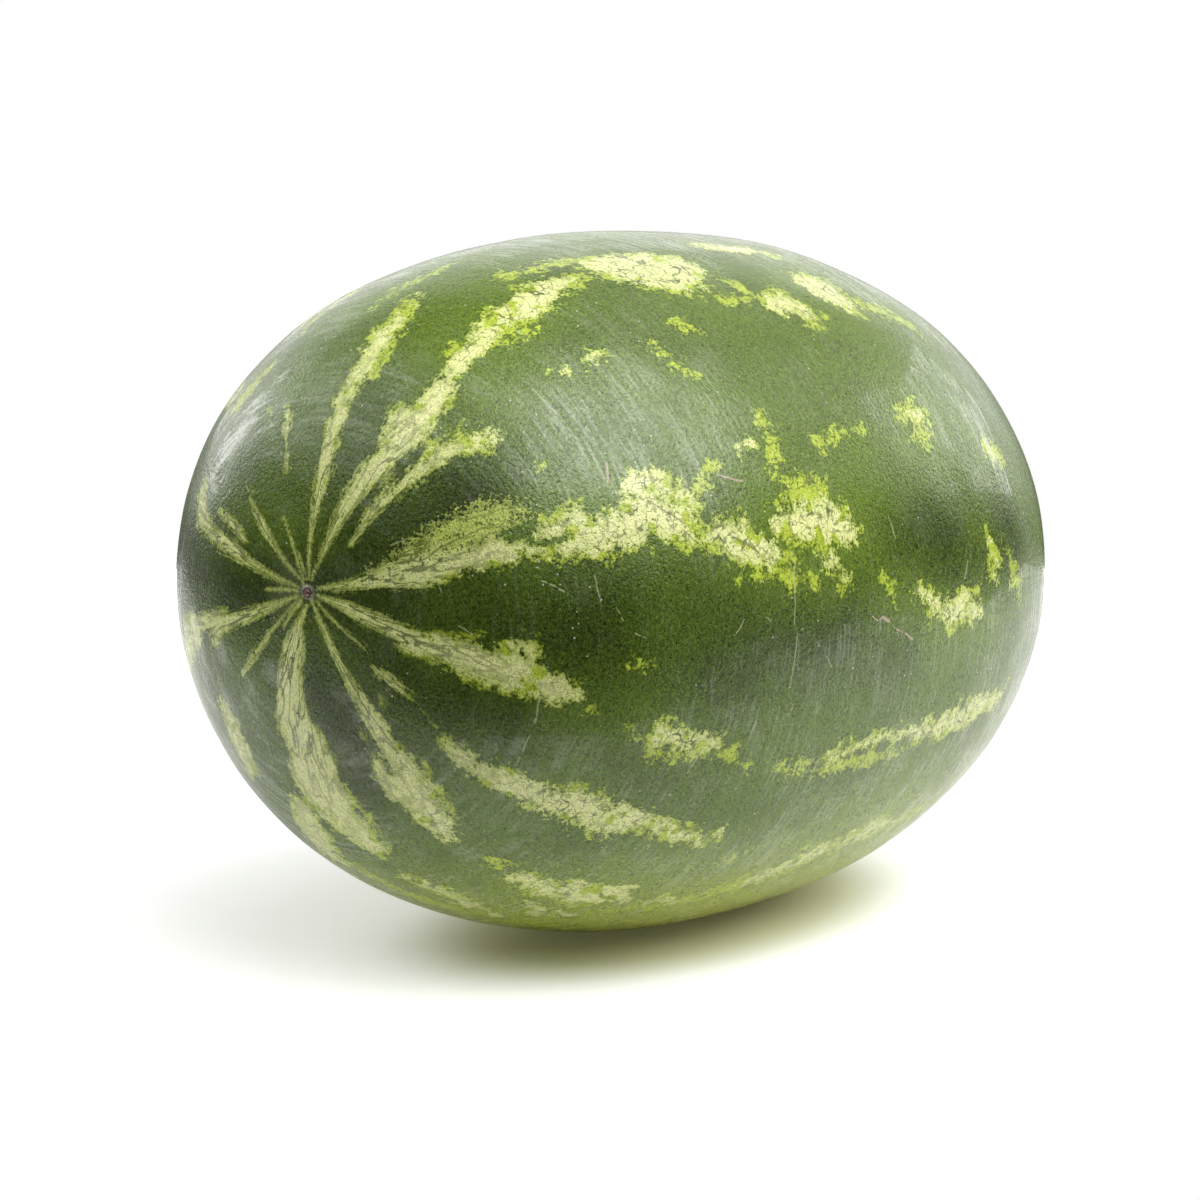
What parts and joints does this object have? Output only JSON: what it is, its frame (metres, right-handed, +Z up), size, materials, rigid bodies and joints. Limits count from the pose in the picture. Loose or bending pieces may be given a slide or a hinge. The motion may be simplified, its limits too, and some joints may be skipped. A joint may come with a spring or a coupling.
{
  "type": "watermelon",
  "caption": "Whole oblong watermelon lying on its side, dark green with ragged pale stripes from the blossom scar, resting on a small flat spot.",
  "frame": {"origin": "on the surface the fruit rests on, under the middle of its bounding box", "axes": "+X along the long axis, towards the stem end; -X is the blossom end; +Z up as the fruit lies"},
  "size_m": [0.3652, 0.2566, 0.2506],
  "materials": {
    "rind": "smooth waxy melon rind, semi-gloss: dark green ground mottled with lighter green, ragged pale yellow-green stripes with veins, fine scratches and a bloom of wax"
  },
  "bodies": {
    "root": {"watermelon": "rind"}
  },
  "joints": []
}
